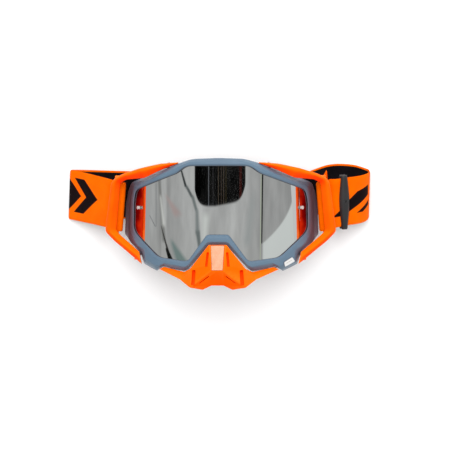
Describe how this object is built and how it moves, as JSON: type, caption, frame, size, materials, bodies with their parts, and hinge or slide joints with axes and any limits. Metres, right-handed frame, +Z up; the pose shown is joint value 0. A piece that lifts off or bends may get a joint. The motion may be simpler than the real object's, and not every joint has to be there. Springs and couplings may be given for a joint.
{
  "type": "motorcycle goggles",
  "caption": "Motorcycle goggles with a mirrored cylinder lens, grey frame, orange outriggers, nose guard, face foam and a folded elastic strap with a slider.",
  "frame": {"origin": "bottom centre of the bounding box, on the surface that the goggles lie on", "axes": "+X to the goggles' right as seen from the front, the longest way; +Y to their top edge; +Z up, out of the lens, which leans 13 degrees towards the top"},
  "size_m": [0.2896, 0.115, 0.0971],
  "materials": {
    "frame_grey": "satin moulded blue-grey",
    "orange_plastic": "semi-gloss moulded orange",
    "mirror_lens": "silver mirror coating",
    "orange_webbing": null,
    "foam_dark": "open-cell foam",
    "fleece_black": "brushed fleece",
    "black_plastic": "satin moulded black",
    "pin_steel": "drawn steel",
    "peach_panel": "glossy pale insert",
    "label_white": "blank printed label",
    "silicone": "clear silicone beads"
  },
  "bodies": {
    "goggles": {"front_frame": "frame_grey", "lens": "mirror_lens", "foam_base": "foam_dark", "foam_middle": "foam_dark", "foam_fleece": "fleece_black", "vent_filter_top": "foam_dark", "vent_filter_low_left": "foam_dark", "vent_filter_low_right": "foam_dark", "tear_off_post_left": "black_plastic", "tear_off_post_right": "black_plastic", "hinge_pin_upper_left": "pin_steel", "hinge_pin_lower_left": "pin_steel", "hinge_pin_upper_right": "pin_steel", "hinge_pin_lower_right": "pin_steel", "tab_label": "label_white", "strap_front_left": "orange_webbing", "strap_rear": "orange_webbing", "strap_loop_right": "orange_webbing", "silicone_strip_1": "silicone", "silicone_strip_2": "silicone", "silicone_strip_3": "silicone"},
    "outrigger_left": {"outrigger_left": "orange_plastic", "strap_fold_left": "orange_webbing"},
    "outrigger_right": {"outrigger_right": "orange_plastic", "strap_fold_right": "orange_webbing"},
    "nose_guard": {"nose_guard": "orange_plastic", "nose_guard_panel": "peach_panel"},
    "strap_slider": {"strap_slider": "black_plastic"}
  },
  "joints": [
    {"name": "outrigger_left_hinge", "type": "hinge", "parent": "goggles", "child": "outrigger_left", "pos_m": [-0.0419, 0.04808, 0.04829], "axis": [0.3396, 0.9393, 0.0491], "range_deg": [-3, 6]},
    {"name": "outrigger_right_hinge", "type": "hinge", "parent": "goggles", "child": "outrigger_right", "pos_m": [0.0501, 0.04808, 0.04829], "axis": [0.3396, -0.9393, -0.0491], "range_deg": [-3, 6]},
    {"name": "slider_slide", "type": "slide", "parent": "goggles", "child": "strap_slider", "axis": [0.9268, -0.003, -0.3756], "range_m": [-0.0025, 0.006]},
    {"name": "nose_guard_pull", "type": "slide", "parent": "goggles", "child": "nose_guard", "axis": [0, 0.225, 0.9744], "range_m": [0, 0.02]}
  ]
}
